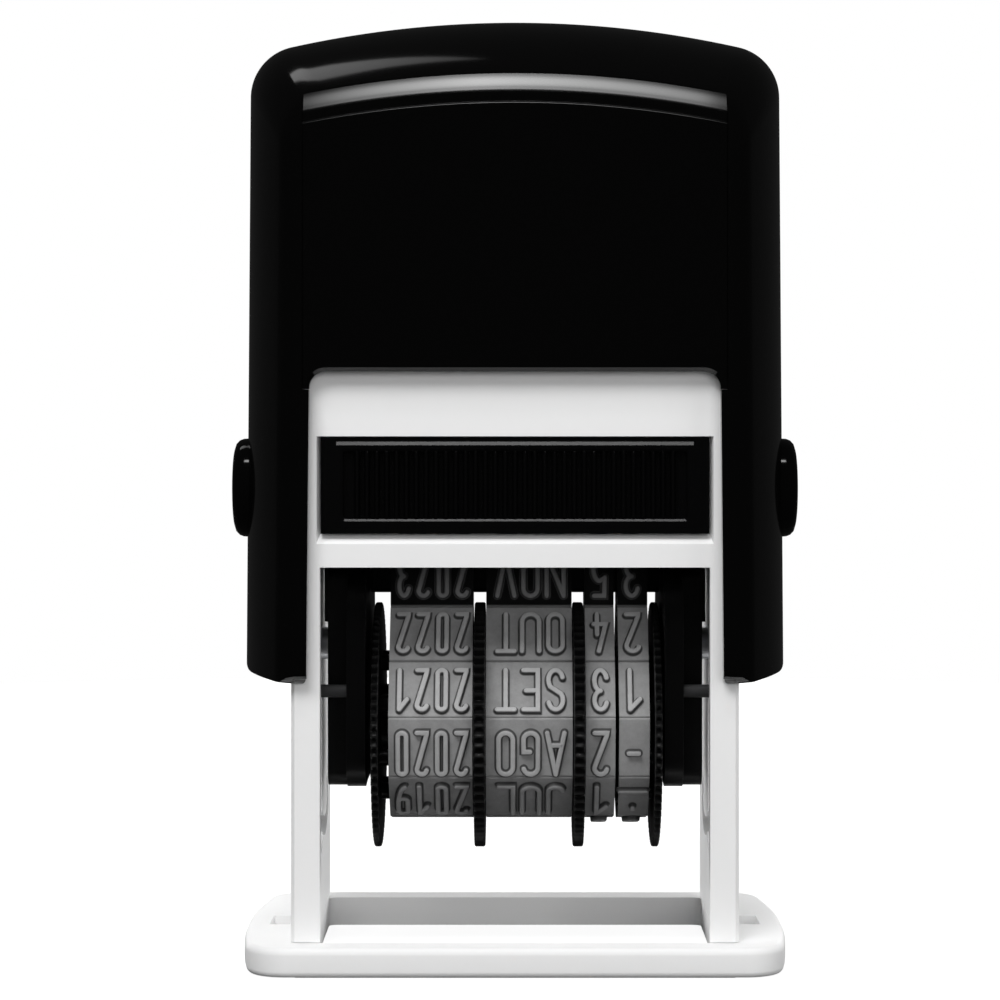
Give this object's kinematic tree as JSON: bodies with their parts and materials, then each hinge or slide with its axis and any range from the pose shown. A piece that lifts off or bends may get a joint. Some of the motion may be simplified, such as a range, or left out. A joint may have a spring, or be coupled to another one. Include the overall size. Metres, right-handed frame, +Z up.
{
  "type": "self inking date stamp",
  "caption": "Self-inking date stamp: pressing the sprung cap flips a carriage of date bands from the ink pad down to the page.",
  "frame": {"origin": "centre of the base's underside, on the page", "axes": "+Z up through the cap, +X to the right and +Y to the back, seen from the ink pad side"},
  "size_m": [0.049, 0.031, 0.0804],
  "materials": {
    "white_plastic": "satin moulded",
    "black_gloss_plastic": "high gloss moulded",
    "black_satin_plastic": "satin moulded",
    "date_rubber": "moulded rubber",
    "ink_felt": "ink-soaked felt",
    "spring_steel": "drawn wire"
  },
  "bodies": {
    "frame": {"base_foot": "white_plastic", "frame_housing": "white_plastic", "return_spring": "spring_steel"},
    "cap": {"cap_shell": "black_gloss_plastic", "cap_front_panel": "black_gloss_plastic", "cap_rear_panel": "black_gloss_plastic", "spring_guide_post": "black_gloss_plastic"},
    "left_button": {"lock_button_left": "black_gloss_plastic"},
    "right_button": {"lock_button_right": "black_gloss_plastic"},
    "cartridge": {"ink_cartridge_tray": "black_satin_plastic", "ink_pad": "ink_felt"},
    "carriage": {"carriage_cheek_left": "black_satin_plastic", "carriage_cheek_right": "black_satin_plastic", "type_bridge": "black_satin_plastic", "wheel_axle": "spring_steel", "pivot_pin_left": "spring_steel", "pivot_pin_right": "spring_steel", "guide_pin_left": "black_satin_plastic", "guide_pin_right": "black_satin_plastic", "year_band": "date_rubber", "month_band": "date_rubber", "day_units_band": "date_rubber", "day_tens_band": "date_rubber"},
    "year_wheel": {"year_thumbwheel": "black_satin_plastic"},
    "month_wheel": {"month_thumbwheel": "black_satin_plastic"},
    "day_units_wheel": {"day_units_thumbwheel": "black_satin_plastic"},
    "day_tens_wheel": {"day_tens_thumbwheel": "black_satin_plastic"}
  },
  "joints": [
    {"name": "press", "type": "slide", "parent": "frame", "child": "cap", "axis": [0, 0, 1], "range_m": [-0.0167, 0], "stiffness_N_per_m": 600, "springref_m": 0.008, "deforming": ["return_spring"]},
    {"name": "carriage_flip", "type": "hinge", "parent": "cap", "child": "carriage", "pos_m": [0, 0, 0.0265], "axis": [1, 0, 0], "range_deg": [0, 180]},
    {"name": "cartridge_slide", "type": "slide", "parent": "frame", "child": "cartridge", "axis": [0, -1, 0], "range_m": [0, 0.024]},
    {"name": "left_button_push", "type": "slide", "parent": "cap", "child": "left_button", "axis": [-1, 0, 0], "range_m": [-0.001, 0], "stiffness_N_per_m": 500, "springref_m": 0.001},
    {"name": "right_button_push", "type": "slide", "parent": "cap", "child": "right_button", "axis": [1, 0, 0], "range_m": [-0.001, 0], "stiffness_N_per_m": 500, "springref_m": 0.001},
    {"name": "year_wheel_turn", "type": "hinge", "parent": "carriage", "child": "year_wheel", "pos_m": [0, 0, 0.01945], "axis": [1, 0, 0], "continuous": true},
    {"name": "month_wheel_turn", "type": "hinge", "parent": "carriage", "child": "month_wheel", "pos_m": [0, 0, 0.01945], "axis": [1, 0, 0], "continuous": true},
    {"name": "day_units_wheel_turn", "type": "hinge", "parent": "carriage", "child": "day_units_wheel", "pos_m": [0, 0, 0.01945], "axis": [1, 0, 0], "continuous": true},
    {"name": "day_tens_wheel_turn", "type": "hinge", "parent": "carriage", "child": "day_tens_wheel", "pos_m": [0, 0, 0.01945], "axis": [1, 0, 0], "continuous": true}
  ],
  "couplings": [
    {"joint": "carriage_flip", "follows": "press", "rad_per_m": -188.1}
  ]
}
